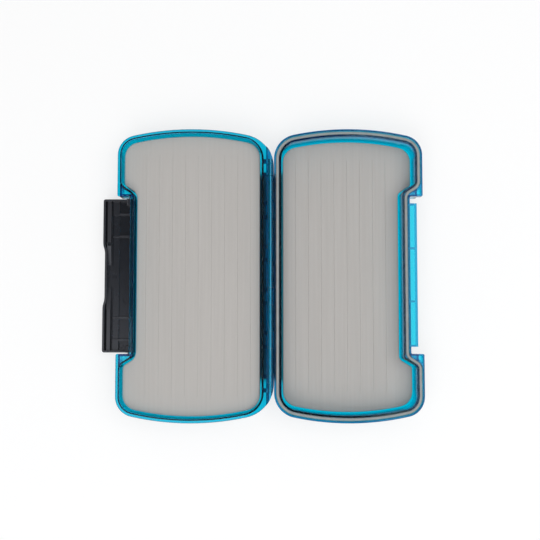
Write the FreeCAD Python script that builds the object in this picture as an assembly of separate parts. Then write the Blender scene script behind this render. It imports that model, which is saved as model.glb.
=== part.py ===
"""Waterproof fly box lying open: two shallow shells on one hinge, slit foam, rim seal and a long latch.

Sizes are in millimetres. Each half is drawn in its own frame: X runs outwards from the hinge axis,
Y along the hinge and Z up from the rim plane, so a half's floor is below zero. The base is then moved
along X, and the lid is turned half a turn about Z first, so that both lie open side by side.
The finished frame has its origin at the middle of the base's underside, with +Z up.
"""
import FreeCAD, Part
import math
import os

Vector = FreeCAD.Vector
UP = Vector(0, 0, 1)
ALONG = Vector(0, 1, 0)
OUTWARDS = Vector(1, 0, 0)

# Rim outline of each half, seen from above
rim_length = 190.0
rear_offset = 2.6
front_offset = 99.0
end_radius = 172.0
rear_corner_radius = 16.0
front_corner_radius = 13.0
half_height = 20.5
rim_play = 0.1
rim_edge_radius = 0.3

# Notch in the front edge that takes the latch
notch_half_length = 50.9
notch_depth = 8.4
notch_corner_radius = 1.0
lead_in_side = 7.0
lead_in_wall = 1.8
lead_in_radius = 5.2
least_radius = 0.5

# Base shell
outer_wall = 1.2
groove_width = 2.2
inner_wall = 1.4
groove_depth = 3.0
groove_web = 1.5
skirt_height = 5.0
base_wall = 1.6
floor_thickness = 1.8
underside_radius = 3.0
floor_radius = 0.8
tub_notch_radius = 3.0

# Catch bar on the base, standing out into the notch
catch_projection = 4.4
catch_end_gap = 4.6
catch_shelf = 1.2
catch_lip = 1.2
catch_lip_height = 3.2
catch_plate = 1.2
catch_rib_share = 0.371

# Lid shell
flange_width = 1.5
flange_thickness = 2.0
lid_wall = 1.3
tongue_width = 1.0
tongue_height = 1.2
flange_edge_radius = 0.5
tongue_round_share = 0.3
ear_wall = 1.5
ear_height = 12.0
ear_pocket_depth = 1.0

# Hinge
hinge_margin = 30.95
base_knuckles = 5
base_knuckle_share = 0.5914
knuckle_gap = 0.2
barrel_radius = 2.45
wing_radius = 22.0
gusset_height = 6.0
lid_web_thickness = 1.6
gusset_inset = 1.1
gusset_width = 2.6
pin_radius = 1.0
pin_clearance = 0.05
pin_wing_seat = 10.95

# Latch, hinged between the lid's ears
pivot_stand_off = 1.4
pivot_drop = 9.0
latch_end_clearance = 0.65
latch_face_clearance = 0.4
latch_hook_clearance = 0.3
latch_heel_gap = 0.3
latch_plate = 1.2
latch_wall = 1.3
latch_wall_height = 3.2
latch_floor_drop = 0.9
latch_well_drop = 1.5
latch_well_margin = 1.7
hook_width = 2.9
hook_height = 1.5
hook_crest_share = 0.85
hook_edge_gap = 0.7
hook_slot = 1.1
hook_gap_share = 0.14
hook_pit_length = 2.2
latch_rib = 1.2
latch_rib_height = 1.3
latch_rib_shares = (-0.806, -0.515, 0.547, 0.838)
latch_corner_radius = 1.4
latch_edge_radius = 0.8
boss_radius = 2.4
boss_length = 4.3
scoop_share = 0.438
scoop_depth = 1.25
scoop_turn_length = 8.0
latch_pin_radius = 0.8
latch_pin_seat = 3.2
ejector_radius = 1.5
ejector_depth = 0.3
ejector_shares = ((0.589, 0.0), (0.177, 0.33), (0.326, 0.913))

# Soft pieces
seal_width = 2.0
seal_gap = 0.1
foam_gap = 1.1
foam_corner_radius = 10.0
tape_inset = 0.5
tape_thickness = 0.3
base_foam_thickness = 5.5
lid_foam_thickness = 13.9
slit_pitch = 8.5
slit_width = 0.3
slit_depth = 4.0
slit_end_margin = 12.0
base_slits = 8
lid_slits = 9

# How far a cutting tool runs past the surface that it cuts, and how closely an edge's height is read
overrun = 1.0
tolerance = 0.01

# Places worked out from the sizes above
middle = (rear_offset + front_offset) / 2
notch_face = front_offset - notch_depth
seal_inset = outer_wall + groove_width / 2
cavity_inset = outer_wall + groove_width + inner_wall
base_notch_radius = tub_notch_radius + seal_inset - cavity_inset
rim_depth = groove_depth + groove_web
axis_height = rim_play / 2
hinge_half_length = rim_length / 2 - hinge_margin
hinge_pitch = 2 * hinge_half_length / (base_knuckles - 1 + base_knuckle_share)
base_knuckle_length = hinge_pitch * base_knuckle_share
lid_knuckle_length = hinge_pitch - base_knuckle_length - 2 * knuckle_gap
gusset_offset = lid_knuckle_length / 2 - gusset_inset
pin_half_length = hinge_half_length + pin_wing_seat
catch_half_length = notch_half_length - catch_end_gap
catch_rib_offset = catch_half_length * catch_rib_share
latch_half_length = notch_half_length - latch_end_clearance
scoop_half_length = latch_half_length * scoop_share
lead_in_slope = math.atan2(notch_depth, lead_in_side - lead_in_wall)
lead_in_shift = math.tan(lead_in_slope / 2)
pivot_x = notch_face + pivot_stand_off
latch_heel = pivot_stand_off + flange_width - latch_heel_gap
latch_face = catch_projection + latch_face_clearance - pivot_stand_off
hook_start = pivot_drop + rim_play + catch_lip_height + latch_hook_clearance
latch_reach = hook_start + hook_width + hook_edge_gap + latch_wall
pin_bore_radius = pin_radius + pin_clearance
latch_bore_radius = latch_pin_radius + pin_clearance


def polar(centre, radius, angle):
    """Point at an angle in radians about a centre in the XY plane."""
    return centre + Vector(radius * math.cos(angle), radius * math.sin(angle), 0)


def rounded_corner(before, corner, after, radius):
    """Three points of the arc that rounds a corner between two straight runs."""
    run_in = (before - corner).normalize()
    run_out = (after - corner).normalize()
    half_angle = run_in.getAngle(run_out) / 2
    reach = radius / math.tan(half_angle)
    bisector = (run_in + run_out).normalize()
    centre = corner + bisector * (radius / math.sin(half_angle))
    return [corner + run_in * reach, centre - bisector * radius, corner + run_out * reach]


def end_corner(side_x, inset, radius, outwards):
    """Centre of a rounded corner at the +Y end, and the angle at which it meets the end's long arc."""
    arc_centre = Vector(middle, rim_length / 2 - end_radius, 0)
    centre_x = side_x - outwards * radius
    rise = math.sqrt((end_radius - radius) ** 2 - (middle - centre_x) ** 2)
    centre = Vector(centre_x, arc_centre.y + rise, 0)
    return centre, math.atan2(rise, centre_x - middle), radius - inset


def outline(inset, front_corners, rear_x=rear_offset, rear_radius=rear_corner_radius,
            front_radius=front_corner_radius):
    """Closed wire of the rim outline drawn in by an inset, symmetric about Y = 0.

    front_corners are (x, y, radius) corners of the front side, from the +Y end towards the middle.
    """
    rear_centre, rear_angle, rear_round = end_corner(rear_x, inset, rear_radius, -1)
    front_centre, front_angle, front_round = end_corner(front_offset, inset, front_radius, 1)
    arc_centre = Vector(middle, rim_length / 2 - end_radius, 0)
    runs = [
        [polar(rear_centre, rear_round, math.pi),
         polar(rear_centre, rear_round, (math.pi + rear_angle) / 2),
         polar(rear_centre, rear_round, rear_angle)],
        [polar(arc_centre, end_radius - inset, rear_angle),
         polar(arc_centre, end_radius - inset, math.pi / 2),
         polar(arc_centre, end_radius - inset, front_angle)],
        [polar(front_centre, front_round, front_angle),
         polar(front_centre, front_round, front_angle / 2),
         polar(front_centre, front_round, 0)],
    ]
    corners = [runs[-1][-1]] + [Vector(x, y, 0) for x, y, _ in front_corners]
    corners.append(Vector(corners[-1].x, 0, 0))
    for index, (_, _, radius) in enumerate(front_corners):
        runs.append(rounded_corner(corners[index], corners[index + 1], corners[index + 2], radius))
    mirrored = [[Vector(p.x, -p.y, 0) for p in reversed(run)] for run in reversed(runs)]
    runs = runs + mirrored
    edges = []
    for run, following in zip(runs, runs[1:] + runs[:1]):
        edges.append(Part.Arc(*run).toShape())
        if run[-1].distanceToPoint(following[0]) > run[0].distanceToPoint(run[-1]) * 1e-6:
            edges.append(Part.makeLine(run[-1], following[0]))
    return Part.Wire(edges)


def rim_wire(inset, **rear):
    """Outline of the rim with its square notch, drawn in by an inset."""
    corners = [
        (front_offset - inset, notch_half_length + inset, notch_corner_radius),
        (notch_face - inset, notch_half_length + inset, notch_corner_radius),
    ]
    return outline(inset, corners, **rear)


def seal_wire(inset, notch_radius=lead_in_radius, **ends):
    """Outline that follows the seal's path, which runs slantwise into the notch, at an inset."""
    shift = inset - seal_inset
    rise = notch_half_length + lead_in_shift * shift
    corners = [
        (front_offset - inset, rise + lead_in_side, max(lead_in_radius - shift, least_radius)),
        (notch_face - inset, rise + lead_in_wall, max(notch_radius + shift, least_radius)),
    ]
    return outline(inset, corners, **ends)


def prism(wire, low, high):
    """Solid between two heights whose plan is a closed wire."""
    face = Part.Face(wire)
    face.translate(UP * low)
    return face.extrude(UP * (high - low))


def block(low_x, high_x, low_y, high_y, low_z, high_z):
    """Box between two corners."""
    return Part.makeBox(high_x - low_x, high_y - low_y, high_z - low_z, Vector(low_x, low_y, low_z))


def mirrored_pair(shape):
    """A shape and its mirror image at the other end."""
    return [shape, shape.mirror(Vector(0, 0, 0), ALONG)]


def rod(radius, x, z, low_y, high_y):
    """Cylinder along Y."""
    return Part.makeCylinder(radius, high_y - low_y, Vector(x, low_y, z), ALONG)


def bar(section, low_y, high_y):
    """Bar along Y with a polygonal section of (x, z) points."""
    points = [Vector(x, low_y, z) for x, z in section]
    return Part.Face(Part.makePolygon(points + points[:1])).extrude(ALONG * (high_y - low_y))


def level_edges(shape, height):
    """Edges of a shape that lie wholly at one height."""
    return [e for e in shape.Edges if abs(e.BoundBox.ZMin - height) < tolerance
            and abs(e.BoundBox.ZMax - height) < tolerance]


def softened(shape, height, radius):
    """Shape whose edges at one height are rounded."""
    return shape.makeFillet(radius, level_edges(shape, height))


def tub(outer_inset, inner_inset, notch_radius=lead_in_radius):
    """Open tub under the rim with a rounded underside and a rounded floor."""
    outer = prism(seal_wire(outer_inset, notch_radius), -half_height, 0)
    outer = softened(outer, -half_height, underside_radius)
    floor = floor_thickness - half_height
    inner = prism(seal_wire(inner_inset, notch_radius), floor, overrun)
    inner = softened(inner, floor, floor_radius)
    return outer.cut(inner), inner


def ear_box(outer_x, plate, low, high):
    """L-shaped walls that close one end of the notch, from the notch face out to outer_x."""
    far_y = notch_half_length + lead_in_side + outer_wall
    outside = block(notch_face - outer_wall, outer_x, notch_half_length, far_y, low, high)
    inside = block(notch_face - outer_wall - overrun, outer_x - outer_wall,
                   notch_half_length + plate, far_y + overrun, low - overrun, high + overrun)
    return outside.cut(inside)


def knuckle_spans():
    """Lengths along Y of the base's knuckles, then of the lid's short knuckles."""
    first = -(base_knuckles - 1) / 2
    centres = [(first + index) * hinge_pitch for index in range(base_knuckles)]
    half = base_knuckle_length / 2
    base = [(y - half, y + half) for y in centres]
    lid = [(low[1] + knuckle_gap, high[0] - knuckle_gap) for low, high in zip(base, base[1:])]
    return base, lid


def pin_bore(low_y, high_y):
    """Tool that clears the hinge pin."""
    return rod(pin_bore_radius, 0, axis_height, low_y, high_y)


def make_base_shell():
    """Deep half with the seal groove in its rim and the catch bar in its notch."""
    shell, cavity = tub(cavity_inset - base_wall, cavity_inset, base_notch_radius)
    rim = prism(rim_wire(0), -skirt_height, 0)
    under_rim = prism(rim_wire(outer_wall), -skirt_height - overrun, -rim_depth)
    core = seal_wire(cavity_inset - base_wall, base_notch_radius)
    core = prism(core, -skirt_height - overrun, -rim_depth)
    rim = softened(rim, -skirt_height, rim_edge_radius).cut(under_rim.cut(core))
    groove = prism(seal_wire(outer_wall), -groove_depth, overrun)
    groove = groove.cut(prism(seal_wire(outer_wall + groove_width), -half_height, overrun * 2))
    pocket = prism(rim_wire(outer_wall), -groove_depth, overrun)
    pocket = pocket.cut(prism(seal_wire(0), -half_height, overrun * 2))
    shell = softened(shell.fuse(rim).cut([cavity, groove]), 0, rim_edge_radius)
    ears = mirrored_pair(ear_box(front_offset - cavity_inset + base_wall, outer_wall,
                                 -ear_height, groove_web / 2 - rim_depth))
    webs, barrels = [], []
    section = [(0, axis_height - barrel_radius), (rear_offset + outer_wall / 2, -rim_depth),
               (rear_offset + outer_wall / 2, 0), (0, 0)]
    for low, high in knuckle_spans()[0]:
        webs.append(bar(section, low, high))
        barrels.append(rod(barrel_radius, 0, axis_height, low, high))
    shell = shell.fuse([e.cut(cavity) for e in ears] + webs + barrels + [make_catch_bar()])
    shell = shell.cut([pocket, pin_bore(-rim_length, rim_length)])
    return shell.removeSplitter()


def make_catch_bar():
    """Shelf with a lip, end plates and ribs, that the latch hooks under.

    Behind the lip the plates reach down to the foot of the rim, clear of the closed latch's hook.
    """
    inner_x = notch_face - outer_wall / 2
    outer_x = notch_face + catch_projection
    shelf = block(inner_x, outer_x, -catch_half_length, catch_half_length, -catch_shelf, 0)
    lip = block(outer_x - catch_lip, outer_x, -catch_half_length, catch_half_length,
                -catch_lip_height, 0)
    plates = []
    for y in (-catch_half_length, -catch_rib_offset - catch_plate / 2,
              catch_rib_offset - catch_plate / 2, catch_half_length - catch_plate):
        plates.append(block(inner_x, outer_x, y, y + catch_plate, -catch_lip_height, 0))
        plates.append(block(inner_x, outer_x - catch_lip - latch_hook_clearance, y, y + catch_plate,
                            -rim_depth, 0))
    return shelf.fuse([lip] + plates)


def make_flange(wire):
    """Thin flange of the lid's rim with rounded edges."""
    flange = softened(prism(wire, -flange_thickness, 0), 0, flange_edge_radius)
    return softened(flange, -flange_thickness, flange_edge_radius)


def make_lid_shell():
    """Shallow-rimmed half with the tongue, the wings and the latch's ears."""
    wall_inset = flange_width
    cavity_edge = flange_width + lid_wall
    shell = tub(wall_inset, cavity_edge)[0]
    wing_wire = rim_wire(0, rear_x=-barrel_radius, rear_radius=wing_radius)
    lid_spans = knuckle_spans()[1]
    wing_start = hinge_half_length + knuckle_gap
    wing_barrel = rod(barrel_radius, 0, axis_height, wing_start, rim_length / 2)
    wing_barrel = wing_barrel.common(prism(wing_wire, -half_height, half_height))
    behind_rim = block(-wing_radius, rear_offset, -wing_start, wing_start, -half_height, half_height)
    behind_axis = block(-wing_radius, 0, -rim_length, rim_length, -half_height, half_height)
    flange = make_flange(wing_wire).cut([behind_rim, behind_axis])
    tongue_inset = cavity_edge - tongue_width
    tongue = prism(seal_wire(tongue_inset), -flange_thickness, tongue_height)
    tongue = tongue.cut(prism(seal_wire(cavity_edge), -half_height, tongue_height + overrun))
    tongue = softened(tongue, tongue_height, tongue_width * tongue_round_share)
    rear_x = rear_offset + wall_inset + lid_wall / 2
    thin_web = [(0, axis_height - barrel_radius), (0, 0), (rear_x, 0), (rear_x, -lid_web_thickness)]
    deep_web = [(0, axis_height - barrel_radius), (0, 0), (rear_x, 0), (rear_x, -gusset_height)]
    pieces = [flange, tongue] + mirrored_pair(wing_barrel)
    wing_gussets_at = wing_start + lid_knuckle_length / 2
    for low, high in lid_spans:
        pieces.append(rod(barrel_radius, 0, axis_height, low, high))
        pieces.append(bar(thin_web, low, high))
    centres = [(low + high) / 2 for low, high in lid_spans] + [-wing_gussets_at, wing_gussets_at]
    for centre in centres:
        for side in (-gusset_offset, gusset_offset):
            y = centre + side
            pieces.append(bar(deep_web, y - gusset_width / 2, y + gusset_width / 2))
    inside = prism(seal_wire(cavity_edge), -ear_height - overrun, tongue_height + overrun)
    ear = ear_box(front_offset - wall_inset, ear_wall, -ear_height, -flange_thickness / 2)
    pieces += mirrored_pair(ear)
    pocket = prism(rim_wire(flange_width), -ear_pocket_depth, overrun)
    pocket = pocket.cut(prism(seal_wire(0), -half_height, overrun * 2))
    shell = shell.fuse(pieces)
    bores = mirrored_pair(rod(latch_bore_radius, pivot_x, -pivot_drop, notch_half_length - overrun,
                              notch_half_length + ear_wall + overrun))
    hinge_bore = pin_bore(-pin_half_length - pin_clearance, rim_length)
    return shell.cut([inside, pocket, hinge_bore] + bores).removeSplitter()


def make_seal():
    """Ring that lies in the base's groove and meets the lid's tongue."""
    side_gap = (groove_width - seal_width) / 2
    top = -tongue_height - seal_gap + rim_play
    outside = prism(seal_wire(outer_wall + side_gap), -groove_depth, top)
    inside = seal_wire(outer_wall + groove_width - side_gap)
    return outside.cut(prism(inside, -groove_depth - overrun, top + overrun))


def make_foam(cavity_edge, thickness, slits, notch_radius=lead_in_radius):
    """Foam block with a row of long slits, and the double-sided tape under it."""
    edge = cavity_edge + foam_gap
    bottom = floor_thickness + tape_thickness - half_height
    ends = {"rear_radius": foam_corner_radius + edge, "front_radius": foam_corner_radius + edge,
            "notch_radius": notch_radius}
    foam = prism(seal_wire(edge, **ends), bottom, bottom + thickness)
    centre = (rear_offset + edge + notch_face - edge) / 2
    reach = rim_length / 2 - edge - slit_end_margin
    cuts = []
    for index in range(slits):
        x = centre + (index - (slits - 1) / 2) * slit_pitch
        cuts.append(block(x - slit_width / 2, x + slit_width / 2, -reach, reach,
                          bottom + thickness - slit_depth, bottom + thickness + overrun))
    tape = prism(seal_wire(edge + tape_inset, **ends), bottom - tape_thickness, bottom)
    return foam.cut(cuts), tape


def scoop_tool(inset, low, high):
    """Tool for the finger scoop in the latch's free edge, whose ends are S-shaped, at an inset."""
    turn = 2 * math.atan2(scoop_depth, scoop_turn_length)
    radius = scoop_turn_length / (2 * math.sin(turn))
    crest = Vector(latch_reach - radius, scoop_half_length, 0)
    hollow = Vector(latch_reach - scoop_depth + radius, scoop_half_length - scoop_turn_length, 0)
    runs = [
        [polar(crest, radius - inset, -angle) for angle in (0, turn / 2, turn)],
        [polar(hollow, radius + inset, math.pi - angle) for angle in (turn, turn / 2, 0)],
    ]
    runs += [[Vector(p.x, -p.y, 0) for p in reversed(run)] for run in reversed(runs)]
    edges = []
    for run in runs:
        edges.append(Part.Arc(*run).toShape())
    edges.append(Part.makeLine(runs[1][-1], runs[2][0]))
    outside = [runs[-1][-1]] + [Vector(latch_reach + overrun, p.y, 0) for p in (runs[-1][-1], runs[0][0])]
    outside.append(runs[0][0])
    for start, end in zip(outside, outside[1:]):
        edges.append(Part.makeLine(start, end))
    return prism(Part.Wire(Part.__sortEdges__(edges)), low, high)


def latch_hollow(face, top, scoop_wall):
    """Tool that hollows the latch between its walls, in steps.

    The floor that faces the catch bar lies higher than the well beside the pivot, and as deep as
    the well runs a slot on each side of the hook.
    """
    inner_half = latch_half_length - latch_wall
    heel = latch_wall - latch_heel
    well_end = pivot_drop - latch_well_margin
    far = latch_reach - latch_wall
    floor = face - latch_floor_drop
    well = face - latch_well_drop
    steps = [block(heel, well_end, -inner_half, inner_half, well, top + overrun),
             block(heel, far, -inner_half, inner_half, floor, top + overrun)]
    slot = block(hook_start - hook_slot, far, latch_half_length * hook_gap_share, inner_half,
                 well, top + overrun)
    steps += mirrored_pair(slot)
    return steps[0].fuse(steps[1:]).cut(scoop_wall)


def latch_hook(face):
    """Hook at the +Y end: straight along the wall, then a ramp that falls towards the middle."""
    well = face - latch_well_drop
    crest = face + hook_height
    inner_half = latch_half_length - latch_wall
    straight = bar([(hook_start, well), (hook_start + hook_width, well),
                    (hook_start + hook_width * hook_crest_share, crest), (hook_start, crest)],
                   scoop_half_length, inner_half)
    ramp_end = latch_half_length * hook_gap_share
    side = [(ramp_end, well), (scoop_half_length, well), (scoop_half_length, crest),
            (ramp_end, face - latch_floor_drop)]
    points = [Vector(hook_start, y, z) for y, z in side]
    ramp = Part.Face(Part.makePolygon(points + points[:1])).extrude(OUTWARDS * hook_width)
    return straight.fuse(ramp)


def make_latch():
    """Long latch drawn swung open: X outwards from its pivot, its inner side up."""
    face = -latch_face
    floor = face - latch_floor_drop
    well = face - latch_well_drop
    bottom = well - latch_plate
    top = face + latch_wall_height
    half = latch_half_length
    body = block(-latch_heel, latch_reach, -half, half, bottom, top)
    corners = [e for e in body.Edges if abs(e.BoundBox.ZLength - (top - bottom)) < tolerance
               and e.BoundBox.XMin > 0]
    body = body.makeFillet(latch_corner_radius, corners)
    outer_edges = [e for e in level_edges(body, bottom) if e.BoundBox.XMax > 0]
    body = body.makeFillet(latch_edge_radius, outer_edges)
    scoop = scoop_tool(0, bottom - overrun, top + overrun)
    body = body.cut(latch_hollow(face, top, scoop_tool(latch_wall, bottom - overrun, top + overrun * 2)))
    inner_half = half - latch_wall
    heel = latch_wall - latch_heel
    well_end = pivot_drop - latch_well_margin
    features = mirrored_pair(latch_hook(face))
    for share in latch_rib_shares:
        y = half * share
        features.append(block(heel, well_end, y - latch_rib / 2, y + latch_rib / 2,
                              well, face + latch_rib_height))
        features.append(block(heel, hook_start - hook_slot, y - latch_rib / 2, y + latch_rib / 2,
                              well, face))
        if abs(share) == max(abs(other) for other in latch_rib_shares if other * share > 0):
            end_step = sorted((y, math.copysign(inner_half, y)))
            features.append(block(well_end, hook_start - hook_slot, *end_step, floor, face))
    boss = rod(boss_radius, 0, 0, half - boss_length, half)
    cheek = block(-latch_heel, boss_radius, half - boss_length, half, well, 0)
    features += mirrored_pair(boss.fuse(cheek))
    body = body.fuse(features)
    pit = block(hook_start - overrun, hook_start + hook_width * hook_crest_share,
                -scoop_half_length, hook_pit_length - scoop_half_length, floor, top)
    cuts = [scoop, pit] + mirrored_pair(rod(latch_bore_radius, 0, 0, half - latch_pin_seat, half + overrun))
    for reach_share, side_share in ejector_shares:
        x = latch_reach * reach_share
        surface = well if x < well_end else floor
        cuts.append(Part.makeCylinder(ejector_radius, latch_wall_height,
                                      Vector(x, half * side_share, surface - ejector_depth)))
    body = body.cut(cuts).removeSplitter()
    body.translate(Vector(pivot_x, 0, -pivot_drop))
    return body


def make_latch_pins():
    """Two short steel pins from the lid's ears into the latch's bosses."""
    pin = rod(latch_pin_radius, pivot_x, -pivot_drop, latch_half_length - latch_pin_seat + pin_clearance,
              notch_half_length + ear_wall)
    return Part.makeCompound(mirrored_pair(pin))


def make_hinge_pin():
    """One steel pin through all the knuckles."""
    return rod(pin_radius, 0, axis_height, -pin_half_length, pin_half_length)


def place_base(shape):
    """Move a piece of the base from its own frame to its place."""
    moved = shape.copy()
    moved.translate(Vector(-middle, 0, half_height))
    return moved


def place_lid(shape):
    """Turn a piece of the lid half a turn about the hinge's foot, then move it as the base."""
    turned = shape.copy()
    turned.rotate(Vector(0, 0, 0), UP, 180)
    return place_base(turned)


def main():
    """Build every piece and write one STEP file for each."""
    base_foam, base_tape = make_foam(cavity_inset, base_foam_thickness, base_slits, base_notch_radius)
    lid_foam, lid_tape = make_foam(flange_width + lid_wall, lid_foam_thickness, lid_slits)
    pieces = {
        "base_shell": place_base(make_base_shell()),
        "lid_shell": place_lid(make_lid_shell()),
        "rim_seal": place_base(make_seal()),
        "base_foam": place_base(base_foam),
        "lid_foam": place_lid(lid_foam),
        "base_foam_tape": place_base(base_tape),
        "lid_foam_tape": place_lid(lid_tape),
        "hinge_pin": place_base(make_hinge_pin()),
        "latch": place_lid(make_latch()),
        "latch_pins": place_lid(make_latch_pins()),
    }
    os.makedirs("parts", exist_ok=True)
    for name, shape in pieces.items():
        shape.exportStep(f"parts/{name}.step")
        box = shape.BoundBox
        print(f"{name}: {len(shape.Solids)} solid(s), valid {shape.isValid()}, "
              f"volume {shape.Volume:.1f}, x {box.XMin:.2f} to {box.XMax:.2f}, "
              f"y {box.YMin:.2f} to {box.YMax:.2f}, z {box.ZMin:.2f} to {box.ZMax:.2f}")


main()
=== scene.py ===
"""Looks of a waterproof fly box that lies open on a pale floor, around its packed construction.

The two shells are clear blue plastic whose walls darken with their thickness. The slit foam blocks,
their tapes and the rim seal are modelled here on the outlines of their plain solids. Sizes are in
metres.
"""
import logging
import math
from dataclasses import dataclass, field
from enum import Enum

import bmesh
import bpy
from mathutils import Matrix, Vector


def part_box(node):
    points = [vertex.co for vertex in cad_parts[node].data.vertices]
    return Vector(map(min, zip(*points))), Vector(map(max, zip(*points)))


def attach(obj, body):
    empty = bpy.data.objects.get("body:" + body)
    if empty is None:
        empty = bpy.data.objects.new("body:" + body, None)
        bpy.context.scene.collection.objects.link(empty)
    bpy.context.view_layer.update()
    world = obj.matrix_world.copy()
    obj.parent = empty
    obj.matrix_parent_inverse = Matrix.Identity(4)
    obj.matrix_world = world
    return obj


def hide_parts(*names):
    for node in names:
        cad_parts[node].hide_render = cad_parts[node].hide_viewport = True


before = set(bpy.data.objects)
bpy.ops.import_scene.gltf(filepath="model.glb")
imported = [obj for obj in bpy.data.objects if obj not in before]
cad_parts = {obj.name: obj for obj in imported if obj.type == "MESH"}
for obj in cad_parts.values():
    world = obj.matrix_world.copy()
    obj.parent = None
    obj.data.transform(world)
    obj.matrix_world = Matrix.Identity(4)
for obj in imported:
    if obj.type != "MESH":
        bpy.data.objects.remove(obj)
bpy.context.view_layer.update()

MM = 0.001
TOLERANCE = 0.001 * MM
CORNER_LIMIT = 0.3
Triple = tuple[float, float, float]
Colour = Triple
Place = Triple
Loop = list[Vector]
Profile = list[tuple[float, float]]
Socket = bpy.types.NodeSocket
WHITE: Colour = (1.0, 1.0, 1.0)

log = logging.getLogger("fly_box")


class Half(Enum):
    """The two halves of the box, by the CAD body that carries each."""

    BASE = "base"
    LID = "lid"


class Axis(Enum):
    """The frame's axes."""

    X = "X"
    Y = "Y"
    Z = "Z"


class Operation(Enum):
    """What a finish works out from one number or two."""

    DIFFERENCE = "SUBTRACT"
    SIZE = "ABSOLUTE"
    LARGER = "MAXIMUM"
    PRODUCT = "MULTIPLY"


class Surface:
    """A material being made: one Principled shader with short calls for the nodes before it."""

    NOISE_DARK: float = 0.3
    NOISE_LIGHT: float = 0.7
    EDGE_SAMPLES: int = 4

    def __init__(self, name: str, colour: Colour, roughness: float) -> None:
        """Start a material.

        Args:
            name: The material's name.
            colour: Linear base colour.
            roughness: Roughness where no pattern changes it.
        """
        self.material = bpy.data.materials.new(name)
        self.material.use_nodes = True
        self.material.diffuse_color = (*colour, 1.0)
        self.nodes = self.material.node_tree.nodes
        self.nodes.clear()
        self.output = self.nodes.new("ShaderNodeOutputMaterial")
        self.shader = self.nodes.new("ShaderNodeBsdfPrincipled")
        self.shader.inputs["Base Color"].default_value = (*colour, 1.0)
        self.shader.inputs["Roughness"].default_value = roughness
        self.join(self.shader.outputs["BSDF"], self.output.inputs["Surface"])
        self.place = self.nodes.new("ShaderNodeTexCoord").outputs["Object"]

    def join(self, source: Socket, target: Socket) -> None:
        """Link two sockets.

        Args:
            source: An output.
            target: The input that it feeds.
        """
        self.material.node_tree.links.new(source, target)

    def set(self, **values: float | Colour) -> None:
        """Set the shader's own sockets, with underscores for spaces in their names.

        Args:
            **values: The value of each socket.
        """
        for key, value in values.items():
            socket = self.shader.inputs[key.replace("_", " ")]
            socket.default_value = (*value, 1.0) if isinstance(value, tuple) else value

    def noise(self, size: float, detail: float = 2.0, stretch: Triple = (1.0, 1.0, 1.0)) -> Socket:
        """Noise on object coordinates.

        Args:
            size: Size of its features, in metres.
            detail: Octaves of finer noise.
            stretch: How much each axis is scaled, below 1 to draw the noise out.

        Returns:
            The noise's factor output, from 0 to 1.
        """
        mapping = self.nodes.new("ShaderNodeMapping")
        mapping.inputs["Scale"].default_value = stretch
        texture = self.nodes.new("ShaderNodeTexNoise")
        texture.inputs["Scale"].default_value = 1.0 / size
        texture.inputs["Detail"].default_value = detail
        self.join(self.place, mapping.inputs["Vector"])
        self.join(mapping.outputs["Vector"], texture.inputs["Vector"])
        return texture.outputs["Fac"]

    def spread(self, factor: Socket, low: float, high: float) -> Socket:
        """Spread the middle of a noise over a range.

        Args:
            factor: Noise from 0 to 1.
            low: Value at the noise's dark end.
            high: Value at its light end.

        Returns:
            The new value's output.
        """
        node = self.nodes.new("ShaderNodeMapRange")
        node.inputs["From Min"].default_value = self.NOISE_DARK
        node.inputs["From Max"].default_value = self.NOISE_LIGHT
        node.inputs["To Min"].default_value = low
        node.inputs["To Max"].default_value = high
        self.join(factor, node.inputs["Value"])
        return node.outputs["Result"]

    def tint(self, factor: Socket, dark: Colour, light: Colour) -> Socket:
        """Mix two colours by a noise.

        Args:
            factor: Noise from 0 to 1.
            dark: Colour at its low end.
            light: Colour at its high end.

        Returns:
            The mixed colour's output.
        """
        node = self.nodes.new("ShaderNodeValToRGB")
        node.color_ramp.elements[0].position = self.NOISE_DARK
        node.color_ramp.elements[0].color = (*dark, 1.0)
        node.color_ramp.elements[1].position = self.NOISE_LIGHT
        node.color_ramp.elements[1].color = (*light, 1.0)
        self.join(factor, node.inputs["Fac"])
        return node.outputs["Color"]

    def along(self, axis: Axis) -> Socket:
        """Object coordinate along an axis.

        Args:
            axis: The axis.

        Returns:
            The coordinate's output, in metres.
        """
        axes = self.nodes.new("ShaderNodeSeparateXYZ")
        self.join(self.place, axes.inputs["Vector"])
        return axes.outputs[axis.value]

    def climb(self, low: float, high: float) -> Socket:
        """Share of the way up between two heights.

        Args:
            low: Height where the share is 0.
            high: Height where it is 1.

        Returns:
            The share's output.
        """
        node = self.nodes.new("ShaderNodeMapRange")
        node.inputs["From Min"].default_value = low
        node.inputs["From Max"].default_value = high
        self.join(self.along(Axis.Z), node.inputs["Value"])
        return node.outputs["Result"]

    def away(self, axis: Axis, centre: float, near: float, far: float) -> Socket:
        """Share that rises softly with the distance from a plane across an axis.

        Args:
            axis: The axis.
            centre: Where the plane stands on that axis.
            near: Distance up to which the share is 0.
            far: Distance from which it is 1.

        Returns:
            The share's output.
        """
        offset = self.compute(Operation.DIFFERENCE, self.along(axis), centre)
        distance = self.compute(Operation.SIZE, offset)
        node = self.nodes.new("ShaderNodeMapRange")
        node.interpolation_type = "SMOOTHSTEP"
        node.inputs["From Min"].default_value = near
        node.inputs["From Max"].default_value = far
        self.join(distance, node.inputs["Value"])
        return node.outputs["Result"]

    def compute(self, operation: Operation, first: Socket, second: Socket | float = 0.0) -> Socket:
        """Work out one number from one or two.

        Args:
            operation: What is worked out.
            first: A number's output.
            second: Another one, or a plain number, where the operation takes two.

        Returns:
            The result's output.
        """
        node = self.nodes.new("ShaderNodeMath")
        node.operation = operation.value
        self.join(first, node.inputs[0])
        if isinstance(second, float):
            node.inputs[1].default_value = second
        else:
            self.join(second, node.inputs[1])
        return node.outputs["Value"]

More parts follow.
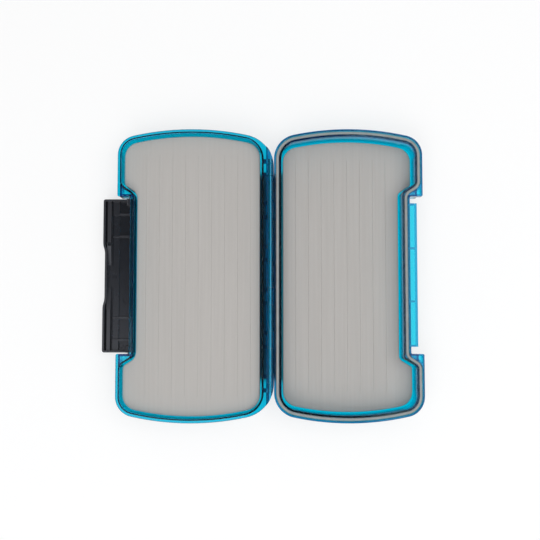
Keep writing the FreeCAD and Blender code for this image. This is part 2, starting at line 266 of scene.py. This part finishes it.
    def towards(self, colour: Colour, ground: Socket, share: Socket) -> Socket:
        """Blend a pattern towards one colour.

        Args:
            colour: The colour reached where the share is 1.
            ground: The pattern that shows where it is 0.
            share: The share's output.

        Returns:
            The blended colour's output.
        """
        node = self.nodes.new("ShaderNodeMix")
        node.data_type = "RGBA"
        inputs = {socket.identifier: socket for socket in node.inputs}
        inputs["B_Color"].default_value = (*colour, 1.0)
        self.join(share, inputs["Factor_Float"])
        self.join(ground, inputs["A_Color"])
        return next(socket for socket in node.outputs if socket.identifier == "Result_Color")

    def bump(self, height: Socket, depth: float, strength: float, under: Socket | None = None) -> Socket:
        """Bump from a height pattern.

        Args:
            height: The pattern, from 0 to 1.
            depth: Its depth in metres.
            strength: Share of the bump that shows.
            under: Normal of a coarser bump below it.

        Returns:
            The bumped normal's output.
        """
        node = self.nodes.new("ShaderNodeBump")
        node.inputs["Strength"].default_value = strength
        node.inputs["Distance"].default_value = depth
        self.join(height, node.inputs["Height"])
        if under:
            self.join(under, node.inputs["Normal"])
        return node.outputs["Normal"]

    def rounded_edges(self, radius: float) -> Socket:
        """Normal that rounds sharp edges.

        Args:
            radius: Radius of the rounding, in metres.

        Returns:
            The rounded normal's output.
        """
        node = self.nodes.new("ShaderNodeBevel")
        node.samples = self.EDGE_SAMPLES
        node.inputs["Radius"].default_value = radius
        return node.outputs["Normal"]

    def feed(self, name: str, source: Socket) -> None:
        """Link a pattern to one of the shader's sockets.

        Args:
            name: The socket's name.
            source: The pattern's output.
        """
        self.join(source, self.shader.inputs[name])


@dataclass(frozen=True)
class ClearBlue:
    """Tinted clear plastic, whose depth of colour comes from its thickness."""

    skin: Colour = (0.22, 0.89, 0.99)
    gloss: Colour = (0.50, 0.80, 0.90)
    tint: Colour = (0.0, 0.929, 0.965)
    density: float = 3600.0
    index: float = 1.5
    roughness: float = 0.06
    scuff: float = 0.6 * MM
    scuff_detail: float = 3.0
    smooth_share: float = 0.6
    rough_share: float = 1.6
    ripple: float = 12 * MM
    ripple_depth: float = 0.02 * MM
    ripple_strength: float = 0.4
    slot: str = "blue_shell"

    def make(self) -> bpy.types.Material:
        """Build the material.

        Returns:
            The finished material.
        """
        surface = Surface("clear_blue", self.skin, self.roughness)
        surface.set(Transmission_Weight=1.0, IOR=self.index, Specular_Tint=self.gloss)
        scuffs = surface.noise(self.scuff, self.scuff_detail)
        surface.feed("Roughness", surface.spread(scuffs, self.roughness * self.smooth_share,
                                                 self.roughness * self.rough_share))
        ripples = surface.noise(self.ripple)
        surface.feed("Normal", surface.bump(ripples, self.ripple_depth, self.ripple_strength))
        depth = surface.nodes.new("ShaderNodeVolumeAbsorption")
        depth.inputs["Color"].default_value = (*self.tint, 1.0)
        depth.inputs["Density"].default_value = self.density
        surface.join(depth.outputs["Volume"], surface.output.inputs["Volume"])
        return surface.material


@dataclass(frozen=True)
class FoamFinish:
    """Closed-cell foam: matt, faintly mottled, with fine cells and faint marks of its skiving."""

    dark: Colour = (0.497, 0.477, 0.457)
    light: Colour = (0.523, 0.502, 0.482)
    sheen: float = 0.25
    roughness: float = 0.92
    roughness_swing: float = 0.06
    cell: float = 0.35 * MM
    cell_detail: float = 2.0
    cell_depth: float = 0.05 * MM
    cell_strength: float = 0.5
    mark: float = 1.6 * MM
    mark_detail: float = 3.0
    mark_stretch: float = 0.02
    slot: str = "grey_foam"

    def make(self) -> bpy.types.Material:
        """Build the material.

        Returns:
            The finished material.
        """
        surface = Surface("grey_foam", self.light, self.roughness)
        surface.set(Specular_IOR_Level=self.sheen)
        marks = surface.noise(self.mark, self.mark_detail, (1.0, self.mark_stretch, 1.0))
        surface.feed("Base Color", surface.tint(marks, self.dark, self.light))
        cells = surface.noise(self.cell, self.cell_detail)
        surface.feed("Roughness", surface.spread(cells, self.roughness - self.roughness_swing,
                                                 self.roughness + self.roughness_swing))
        surface.feed("Normal", surface.bump(cells, self.cell_depth, self.cell_strength))
        return surface.material


@dataclass(frozen=True)
class RubberFinish:
    """Soft silicone of the seal, matt with a faint bloom."""

    dark: Colour = (0.400, 0.374, 0.358)
    light: Colour = (0.470, 0.440, 0.420)
    roughness: float = 0.62
    roughness_swing: float = 0.1
    bloom: float = 4.8 * MM
    grain: float = 0.8 * MM
    grain_detail: float = 3.0
    grain_depth: float = 0.02 * MM
    grain_strength: float = 0.3
    slot: str = "grey_seal"

    def make(self) -> bpy.types.Material:
        """Build the material.

        Returns:
            The finished material.
        """
        surface = Surface("grey_seal", self.light, self.roughness)
        grain = surface.noise(self.grain, self.grain_detail)
        surface.feed("Base Color", surface.tint(surface.noise(self.bloom), self.dark, self.light))
        surface.feed("Roughness", surface.spread(grain, self.roughness - self.roughness_swing,
                                                 self.roughness + self.roughness_swing))
        surface.feed("Normal", surface.bump(grain, self.grain_depth, self.grain_strength))
        return surface.material


@dataclass(frozen=True)
class BlackPlastic:
    """Near-black moulded plastic: matt, with painted shade in its hollow and painted light on its ribs
    and rims, set by height.
    """

    dark: Colour = (0.002, 0.0035, 0.007)
    light: Colour = (0.006, 0.008, 0.013)
    # painted light: colour that the crests of the ribs and rims are lifted to
    painted_crest_light: Colour = (0.034, 0.034, 0.039)
    gloss: Colour = (0.88, 0.91, 1.0)
    # heights between which the painted shade of the hollow turns into painted light on the crests
    hollow: float = 6.7 * MM
    crest: float = 9.6 * MM
    mottle: float = 5 * MM
    mottle_detail: float = 4.0
    roughness: float = 0.20
    smoother: float = 0.04
    rougher: float = 0.06
    grain: float = 0.22 * MM
    grain_detail: float = 2.0
    grain_depth: float = 0.02 * MM
    grain_strength: float = 0.12
    edge: float = 0.5 * MM
    slot: str = "black_latch"

    def make(self) -> bpy.types.Material:
        """Build the material.

        Returns:
            The finished material.
        """
        surface = Surface("black_latch", self.light, self.roughness)
        surface.set(Specular_Tint=self.gloss)
        grain = surface.noise(self.grain, self.grain_detail)
        mottle = surface.tint(surface.noise(self.mottle, self.mottle_detail), self.dark, self.light)
        # painted light and shade by height: dark in the hollow, paler up to the crests
        painted_light_share = surface.climb(self.hollow, self.crest)
        surface.feed("Base Color", surface.towards(self.painted_crest_light, mottle, painted_light_share))
        surface.feed("Roughness", surface.spread(grain, self.roughness - self.smoother,
                                                 self.roughness + self.rougher))
        edges = surface.rounded_edges(self.edge)
        surface.feed("Normal", surface.bump(grain, self.grain_depth, self.grain_strength, edges))
        return surface.material


@dataclass(frozen=True)
class DrawnSteel:
    """Stainless wire, with faint lines drawn along it."""

    dark: Colour = (0.32, 0.32, 0.31)
    light: Colour = (0.52, 0.52, 0.50)
    roughness: float = 0.18
    smoother: float = 0.08
    rougher: float = 0.1
    line: float = 0.15 * MM
    line_detail: float = 2.0
    line_stretch: float = 0.01
    slot: str = "steel_pin"

    def make(self) -> bpy.types.Material:
        """Build the material.

        Returns:
            The finished material.
        """
        surface = Surface("steel_pin", self.light, self.roughness)
        surface.set(Metallic=1.0)
        lines = surface.noise(self.line, self.line_detail, (1.0, self.line_stretch, 1.0))
        surface.feed("Base Color", surface.tint(lines, self.dark, self.light))
        surface.feed("Roughness", surface.spread(lines, self.roughness - self.smoother,
                                                 self.roughness + self.rougher))
        return surface.material


@dataclass(frozen=True)
class TapeFinish:
    """Thin white double-sided tape."""

    dark: Colour = (0.72, 0.72, 0.70)
    light: Colour = (0.82, 0.82, 0.80)
    roughness: float = 0.7
    fibre: float = 0.5 * MM
    fibre_detail: float = 4.0
    fibre_depth: float = 0.02 * MM
    fibre_strength: float = 0.3
    slot: str = "adhesive_tape"

    def make(self) -> bpy.types.Material:
        """Build the material.

        Returns:
            The finished material.
        """
        surface = Surface("adhesive_tape", self.light, self.roughness)
        fibres = surface.noise(self.fibre, self.fibre_detail)
        surface.feed("Base Color", surface.tint(fibres, self.dark, self.light))
        surface.feed("Normal", surface.bump(fibres, self.fibre_depth, self.fibre_strength))
        return surface.material


@dataclass(frozen=True)
class FloorFinish:
    """Smooth pale board that is lit a little from below, as a light table, with a painted shadow under
    the hinge where that glow fades out.
    """

    colour: Colour = (0.32, 0.322, 0.325)
    sheen: float = 0.2
    grain: float = 20 * MM
    roughness: float = 0.6
    roughness_swing: float = 0.04
    glow: float = 0.69
    # painted shadow: size of the band around the hinge line where the glow fades out
    shade_half_width: float = 6 * MM
    shade_half_length: float = 66 * MM
    shade_fade: float = 6 * MM

    def make(self) -> bpy.types.Material:
        """Build the material.

        Returns:
            The finished material.
        """
        surface = Surface("pale_floor", self.colour, self.roughness)
        surface.set(Specular_IOR_Level=self.sheen, Emission_Color=WHITE, Emission_Strength=self.glow)
        grain = surface.noise(self.grain)
        surface.feed("Roughness", surface.spread(grain, self.roughness - self.roughness_swing,
                                                 self.roughness + self.roughness_swing))
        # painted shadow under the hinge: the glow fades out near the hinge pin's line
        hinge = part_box("hinge_pin")
        centre = (hinge[0] + hinge[1]) / 2
        beside = surface.away(Axis.X, centre.x, self.shade_half_width,
                              self.shade_half_width + self.shade_fade)
        beyond = surface.away(Axis.Y, centre.y, self.shade_half_length,
                              self.shade_half_length + self.shade_fade)
        lit = surface.compute(Operation.LARGER, beside, beyond)
        surface.feed("Emission Strength", surface.compute(Operation.PRODUCT, lit, self.glow))
        return surface.material


def dress(node: str, material: bpy.types.Material) -> bpy.types.Object:
    """Give a CAD node its finish.

    Args:
        node: Name of the CAD node.
        material: Its finish.

    Returns:
        The node's object.
    """
    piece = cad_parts[node]
    for index in range(len(piece.material_slots)):
        piece.material_slots[index].material = material
    return piece


def outer_loop(node: str) -> Loop:
    """Outline of a CAD node's lowest face, seen from above.

    Args:
        node: Name of the CAD node.

    Returns:
        The points of its longest boundary, in order and turning left.
    """
    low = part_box(node)[0].z
    mesh = bmesh.new()
    mesh.from_mesh(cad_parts[node].data)
    bmesh.ops.remove_doubles(mesh, verts=mesh.verts, dist=TOLERANCE)
    flat = {f for f in mesh.faces if all(abs(v.co.z - low) < TOLERANCE for v in f.verts)}
    border = [e for e in mesh.edges if sum(f in flat for f in e.link_faces) == 1]
    beside: dict[bmesh.types.BMVert, list[bmesh.types.BMVert]] = {}
    for edge in border:
        first, second = edge.verts
        beside.setdefault(first, []).append(second)
        beside.setdefault(second, []).append(first)
    loops = []
    while beside:
        vert = next(iter(beside))
        walk = []
        while vert in beside:
            walk.append(vert.co.copy())
            onward = [v for v in beside.pop(vert) if v in beside]
            vert = onward[0] if onward else None
        loops.append(walk)
    mesh.free()
    longest = max(loops, key=lambda walk: max(p.y for p in walk) - min(p.y for p in walk))
    area = sum(a.x * b.y - b.x * a.y for a, b in zip(longest, longest[1:] + longest[:1]))
    return longest if area > 0 else longest[::-1]


def drawn_in(loop: Loop, inset: float, height: float) -> Loop:
    """A loop drawn in by an inset and set at a height.

    Args:
        loop: Points of an outline that turns left.
        inset: How far it is drawn in.
        height: Height of the new loop.

    Returns:
        As many points, each on the bisector of its corner, with sharp corners held to CORNER_LIMIT.
    """
    moved = []
    for before, point, after in zip(loop[-1:] + loop[:-1], loop, loop[1:] + loop[:1]):
        run_in = (point - before).xy.normalized()
        run_out = (after - point).xy.normalized()
        inwards = Vector((-run_in.y - run_out.y, run_in.x + run_out.x)).normalized()
        reach = inset / max(inwards.dot(Vector((-run_in.y, run_in.x))), CORNER_LIMIT)
        moved.append(Vector((point.x + inwards.x * reach, point.y + inwards.y * reach, height)))
    return moved


def crossings(loop: Loop) -> tuple[float, float]:
    """Where an outline crosses the box's own middle line, Y = 0.

    Args:
        loop: Points of a closed outline.

    Returns:
        The lowest and the highest X of the crossings.
    """
    places = []
    for start, end in zip(loop, loop[1:] + loop[:1]):
        if (start.y < 0) != (end.y < 0):
            places.append(start.x + (end.x - start.x) * start.y / (start.y - end.y))
    return min(places), max(places)


def link(name: str, mesh: bmesh.types.BMesh, material: bpy.types.Material,
         smooth: bool = True) -> bpy.types.Object:
    """Turn a bmesh into an object at the origin with its faces outwards.

    Args:
        name: The object's name.
        mesh: The bmesh, which is freed.
        material: Its finish.
        smooth: Whether its faces are shaded smooth.

    Returns:
        The new object.
    """
    bmesh.ops.recalc_face_normals(mesh, faces=mesh.faces)
    data = bpy.data.meshes.new(name)
    mesh.to_mesh(data)
    mesh.free()
    data.materials.append(material)
    data.polygons.foreach_set("use_smooth", [smooth] * len(data.polygons))
    piece = bpy.data.objects.new(name, data)
    bpy.context.scene.collection.objects.link(piece)
    return piece


def ring_stack(mesh: bmesh.types.BMesh, loops: list[Loop]) -> list[list[bmesh.types.BMVert]]:
    """Join loops of equal length with quads.

    Args:
        mesh: The bmesh that they are added to.
        loops: The loops, in order.

    Returns:
        The vertices of each loop.
    """
    rings = [[mesh.verts.new(point) for point in loop] for loop in loops]
    for lower, upper in zip(rings, rings[1:]):
        for index in range(len(lower)):
            following = (index + 1) % len(lower)
            mesh.faces.new((lower[index], lower[following], upper[following], upper[index]))
    return rings


@dataclass
class SlitCutter:
    """Geometry Nodes tree that cuts a row of equal slits into a block."""

    count: int
    pitch: float
    centre: float
    blade: bpy.types.Object
    material: bpy.types.Material

    def tree(self) -> bpy.types.NodeTree:
        """Build the tree, with named inputs for the row and its blade.

        Returns:
            The tree.
        """
        group = bpy.data.node_groups.new("slit_row", "GeometryNodeTree")
        face = group.interface
        face.new_socket("Block", in_out="INPUT", socket_type="NodeSocketGeometry")
        face.new_socket("Count", in_out="INPUT", socket_type="NodeSocketInt")
        face.new_socket("Start", in_out="INPUT", socket_type="NodeSocketVector")
        face.new_socket("Step", in_out="INPUT", socket_type="NodeSocketVector")
        face.new_socket("Blade", in_out="INPUT", socket_type="NodeSocketObject")
        face.new_socket("Foam", in_out="INPUT", socket_type="NodeSocketMaterial")
        face.new_socket("Block", in_out="OUTPUT", socket_type="NodeSocketGeometry")
        nodes, links = group.nodes, group.links
        source = nodes.new("NodeGroupInput")
        row = nodes.new("GeometryNodeMeshLine")
        blade = nodes.new("GeometryNodeObjectInfo")
        place = nodes.new("GeometryNodeInstanceOnPoints")
        real = nodes.new("GeometryNodeRealizeInstances")
        cut = nodes.new("GeometryNodeMeshBoolean")
        cut.operation = "DIFFERENCE"
        cut.solver = "MANIFOLD"
        whole = nodes.new("GeometryNodeRealizeInstances")
        finish = nodes.new("GeometryNodeSetMaterial")
        result = nodes.new("NodeGroupOutput")
        links.new(source.outputs["Count"], row.inputs["Count"])
        links.new(source.outputs["Start"], row.inputs["Start Location"])
        links.new(source.outputs["Step"], row.inputs["Offset"])
        links.new(source.outputs["Blade"], blade.inputs["Object"])
        links.new(row.outputs["Mesh"], place.inputs["Points"])
        links.new(blade.outputs["Geometry"], place.inputs["Instance"])
        links.new(place.outputs["Instances"], real.inputs["Geometry"])
        links.new(source.outputs["Block"], cut.inputs["Mesh 1"])
        links.new(real.outputs["Geometry"], cut.inputs["Mesh 2"])
        links.new(cut.outputs["Mesh"], whole.inputs["Geometry"])
        links.new(whole.outputs["Geometry"], finish.inputs["Geometry"])
        links.new(source.outputs["Foam"], finish.inputs["Material"])
        links.new(finish.outputs["Geometry"], result.inputs["Block"])
        return group

    def cut(self, block: bpy.types.Object) -> None:
        """Cut the slits into a block, as a plain mesh.

        Args:
            block: The foam block, whose mesh is replaced.
        """
        group = self.tree()
        modifier = block.modifiers.new("slits", "NODES")
        modifier.node_group = group
        start = Vector((self.centre - (self.count - 1) / 2 * self.pitch, 0.0, 0.0))
        values = {"Count": self.count, "Start": start, "Step": Vector((self.pitch, 0.0, 0.0)),
                  "Blade": self.blade, "Foam": self.material}
        for item in group.interface.items_tree:
            if item.in_out == "INPUT" and item.name in values:
                modifier[item.identifier] = values[item.name]
        block.update_tag()
        graph = bpy.context.evaluated_depsgraph_get()
        made = bpy.data.meshes.new_from_object(block.evaluated_get(graph))
        block.modifiers.remove(modifier)
        block.data = made
        bpy.data.objects.remove(self.blade)


@dataclass
class FoamPad:
    """Slit foam block that fills the bottom of one half."""

    half: Half
    slits: int
    slit_half_width: float
    pitch: float = 8.5 * MM
    end_margin: float = 12 * MM
    depth: float = 4 * MM
    foot_round: float = 0.3 * MM
    top_round: float = 0.6 * MM
    round_steps: int = 3
    lip: float = 0.05 * MM
    flare_share: float = 0.6
    tip_share: float = 0.6
    end_shares: tuple[tuple[float, float], ...] = ((0.0, 0.25), (0.004, 0.7), (0.02, 1.0))
    finish: FoamFinish = field(default_factory=FoamFinish)

    @property
    def node(self) -> str:
        """Name of the plain solid that the pad stands for."""
        return f"{self.half.value}_foam"

    def block(self, material: bpy.types.Material) -> bpy.types.Object:
        """Build the block with softened edges.

        Args:
            material: Its finish.

        Returns:
            The block, without its slits.
        """
        low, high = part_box(self.node)
        loop = outer_loop(self.node)
        steps: Profile = [(self.foot_round, low.z), (0.0, low.z + self.foot_round)]
        for step in range(self.round_steps + 1):
            angle = math.pi / 2 * step / self.round_steps
            steps.append((self.top_round * (1 - math.cos(angle)),
                          high.z - self.top_round * (1 - math.sin(angle))))
        mesh = bmesh.new()
        rings = ring_stack(mesh, [drawn_in(loop, inset, height) for inset, height in steps])
        mesh.faces.new(rings[0])
        mesh.faces.new(rings[-1])
        return link(f"{self.half.value}_foam_pad", mesh, material, smooth=False)

    def blade(self, material: bpy.types.Material) -> bpy.types.Object:
        """Build the thin blade that one slit leaves room for, flared at its mouth.

        Args:
            material: Any finish, which the cut drops.

        Returns:
            The blade, at X = 0 and at the pad's own height.
        """
        low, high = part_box(self.node)
        reach = (high.y - low.y) / 2 - self.end_margin
        mouth = self.slit_half_width
        section: Profile = [(mouth + self.lip * self.flare_share, high.z + self.lip),
                            (mouth, high.z - self.lip),
                            (mouth * self.tip_share, high.z - self.depth)]
        stations = [*self.end_shares, *((1 - share, width) for share, width in reversed(self.end_shares))]
        mesh = bmesh.new()
        loops = []
        for share, width in stations:
            y = reach * (2 * share - 1)
            right = [Vector((x * width, y, z)) for x, z in section]
            left = [Vector((-x * width, y, z)) for x, z in reversed(section)]
            loops.append(right + left)
        rings = ring_stack(mesh, loops)
        mesh.faces.new(rings[0])
        mesh.faces.new(rings[-1])
        return link("slit_blade", mesh, material, smooth=False)

    def build(self) -> bpy.types.Object:
        """Build the pad, cut its slits and put it in its half.

        Returns:
            The pad.
        """
        material = self.finish.make()
        pad = self.block(material)
        middle = sum(crossings(outer_loop(self.node))) / 2
        SlitCutter(self.slits, self.pitch, middle, self.blade(material), material).cut(pad)
        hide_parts(self.node)
        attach(pad, self.half.value)
        return pad


@dataclass
class FoamTape:
    """Double-sided tape under one foam pad, a breath of air clear of the clear floor below it."""

    half: Half
    air: float = 0.02 * MM
    finish: TapeFinish = field(default_factory=TapeFinish)

    def build(self) -> bpy.types.Object:
        """Build the tape and put it in its half.

        Returns:
            The tape.
        """
        node = f"{self.half.value}_foam_tape"
        low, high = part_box(node)
        loop = outer_loop(node)
        heights = (low.z + self.air, high.z - self.air)
        mesh = bmesh.new()
        rings = ring_stack(mesh, [drawn_in(loop, self.air, height) for height in heights])
        mesh.faces.new(rings[0])
        mesh.faces.new(rings[-1])
        tape = link(f"{node}_sheet", mesh, self.finish.make(), smooth=False)
        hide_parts(node)
        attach(tape, self.half.value)
        return tape


@dataclass
class RimSeal:
    """Silicone ring with a domed crown, in the groove of the base's rim."""

    width: float = 2.0 * MM
    air: float = 0.02 * MM
    crown: float = 0.45 * MM
    crown_steps: int = 8
    foot_round: float = 0.2 * MM
    finish: RubberFinish = field(default_factory=RubberFinish)

    def build(self) -> bpy.types.Object:
        """Build the ring and put it in the base.

        Returns:
            The ring.
        """
        material = self.finish.make()
        low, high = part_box("rim_seal")
        loop = outer_loop("rim_seal")
        half = self.width / 2
        foot = low.z + self.air
        steps: Profile = [(self.foot_round, foot), (0.0, foot + self.foot_round)]
        for step in range(self.crown_steps + 1):
            across = -math.cos(math.pi * step / self.crown_steps)
            steps.append((half * (1 + across), high.z - self.crown * across ** 2))
        steps += [(self.width, foot + self.foot_round), (self.width - self.foot_round, foot)]
        mesh = bmesh.new()
        rings = ring_stack(mesh, [drawn_in(loop, inset, height) for inset, height in steps])
        for index in range(len(rings[0])):
            following = (index + 1) % len(rings[0])
            mesh.faces.new((rings[-1][index], rings[-1][following], rings[0][following], rings[0][index]))
        ring = link("rim_seal_ring", mesh, material)
        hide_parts("rim_seal")
        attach(ring, Half.BASE.value)
        return ring


@dataclass
class Shells:
    """The two clear shells with their rims, knuckles and catch bar."""

    finish: ClearBlue = field(default_factory=ClearBlue)

    def build(self) -> list[bpy.types.Object]:
        """Dress both shells."""
        material = self.finish.make()
        return [dress(f"{half.value}_shell", material) for half in Half]


@dataclass
class Fittings:
    """The latch and the steel pins."""

    latch: BlackPlastic = field(default_factory=BlackPlastic)
    steel: DrawnSteel = field(default_factory=DrawnSteel)

    def build(self) -> list[bpy.types.Object]:
        """Dress the latch and the pins.

        Returns:
            The latch and both nodes of pins.
        """
        latch = dress("latch", self.latch.make())
        steel = self.steel.make()
        return [latch, *(dress(node, steel) for node in ("hinge_pin", "latch_pins"))]


@dataclass(frozen=True)
class Lamp:
    """Large soft lamp that faces the box."""

    name: str
    place: Place
    power: float
    size: float

    def hang(self, target: Vector) -> None:
        """Put the lamp in the scene.

        Args:
            target: The point that it faces.
        """
        lamp = bpy.data.lights.new(self.name, "AREA")
        lamp.energy = self.power
        lamp.size = self.size
        holder = bpy.data.objects.new(self.name, lamp)
        holder.location = self.place
        holder.rotation_mode = "QUATERNION"
        holder.rotation_quaternion = (target - Vector(self.place)).to_track_quat("-Z", "Y")
        bpy.context.scene.collection.objects.link(holder)


@dataclass
class Studio:
    """Pale floor that curves up far away, a faint dome of light, soft lamps and the camera."""

    floor_radius: float = 6.0
    floor_drop: float = 0.05 * MM
    cove_radius: float = 1.2
    cove_height: float = 2.8
    cove_sides: int = 96
    cove_steps: int = 8
    board: FloorFinish = field(default_factory=FloorFinish)
    dome: float = 0.22
    lamps: tuple[Lamp, ...] = (
        Lamp("right_lamp", (0.60, 0.05, 1.20), 5.5, 1.0),
        Lamp("left_lamp", (-0.42, -0.47, 1.10), 3.5, 0.9),
        Lamp("back_lamp", (-0.05, 0.80, 1.10), 2.0, 1.0),
        Lamp("front_lamp", (-0.05, -0.90, 1.00), 4.5, 1.0),
    )
    lens: float = 56.9
    sensor: float = 36.0
    nearest: float = 10 * MM
    farthest: float = 20.0
    eye: Place = (-0.0508, -0.0327, 0.5693)
    target: Place = (-0.0508, 0.0030, 0.0205)

    def build(self) -> None:
        """Set the floor, the light and the camera."""
        self.floor()
        self.light()
        self.camera()

    def floor(self) -> None:
        """Lay the floor under the box, with a cove all round it."""
        section: Profile = []
        for step in range(self.cove_steps + 1):
            angle = math.pi / 2 * step / self.cove_steps
            section.append((self.floor_radius + self.cove_radius * math.sin(angle),
                            self.cove_radius * (1 - math.cos(angle)) - self.floor_drop))
        section.append((self.floor_radius + self.cove_radius, self.cove_height))
        turns = [math.tau * side / self.cove_sides for side in range(self.cove_sides)]
        mesh = bmesh.new()
        rings = ring_stack(mesh, [[Vector((radius * math.cos(turn), radius * math.sin(turn), height))
                                   for turn in turns] for radius, height in section])
        mesh.faces.new(rings[0])
        board = link("floor", mesh, self.board.make())
        if next(face for face in board.data.polygons if face.loop_total == self.cove_sides).normal.z < 0:
            board.data.flip_normals()

    def light(self) -> None:
        """Light the box from its sides, with a faint dome above."""
        world = bpy.data.worlds.new("studio")
        world.use_nodes = True
        backdrop = world.node_tree.nodes["Background"]
        backdrop.inputs["Color"].default_value = (*WHITE, 1.0)
        backdrop.inputs["Strength"].default_value = self.dome
        bpy.context.scene.world = world
        for lamp in self.lamps:
            lamp.hang(Vector(self.target))

    def camera(self) -> None:
        """Hang the camera over the hinge, as in the photograph."""
        lens = bpy.data.cameras.new("camera")
        lens.lens = self.lens
        lens.sensor_width = self.sensor
        lens.clip_start = self.nearest
        lens.clip_end = self.farthest
        holder = bpy.data.objects.new("camera", lens)
        holder.location = self.eye
        holder.rotation_mode = "QUATERNION"
        holder.rotation_quaternion = (Vector(self.target) - Vector(self.eye)).to_track_quat("-Z", "Y")
        bpy.context.scene.collection.objects.link(holder)
        bpy.context.scene.camera = holder
        bpy.context.scene.view_settings.view_transform = "Standard"
        bpy.context.scene.cycles.use_denoising = True


def report(piece: bpy.types.Object) -> None:
    """Log a piece and how many faces it has.

    Args:
        piece: The piece.
    """
    log.info("%s: %d faces", piece.name, len(piece.data.polygons))


def main() -> None:
    """Build the studio and dress the box, piece by piece."""
    logging.basicConfig(level=logging.INFO, format="%(message)s")
    Studio().build()
    for piece in Shells().build() + Fittings().build():
        report(piece)
    report(RimSeal().build())
    for half in Half:
        report(FoamTape(half).build())
    report(FoamPad(Half.BASE, slits=8, slit_half_width=0.024 * MM).build())
    report(FoamPad(Half.LID, slits=9, slit_half_width=0.014 * MM).build())


if __name__ == "__main__":
    main()
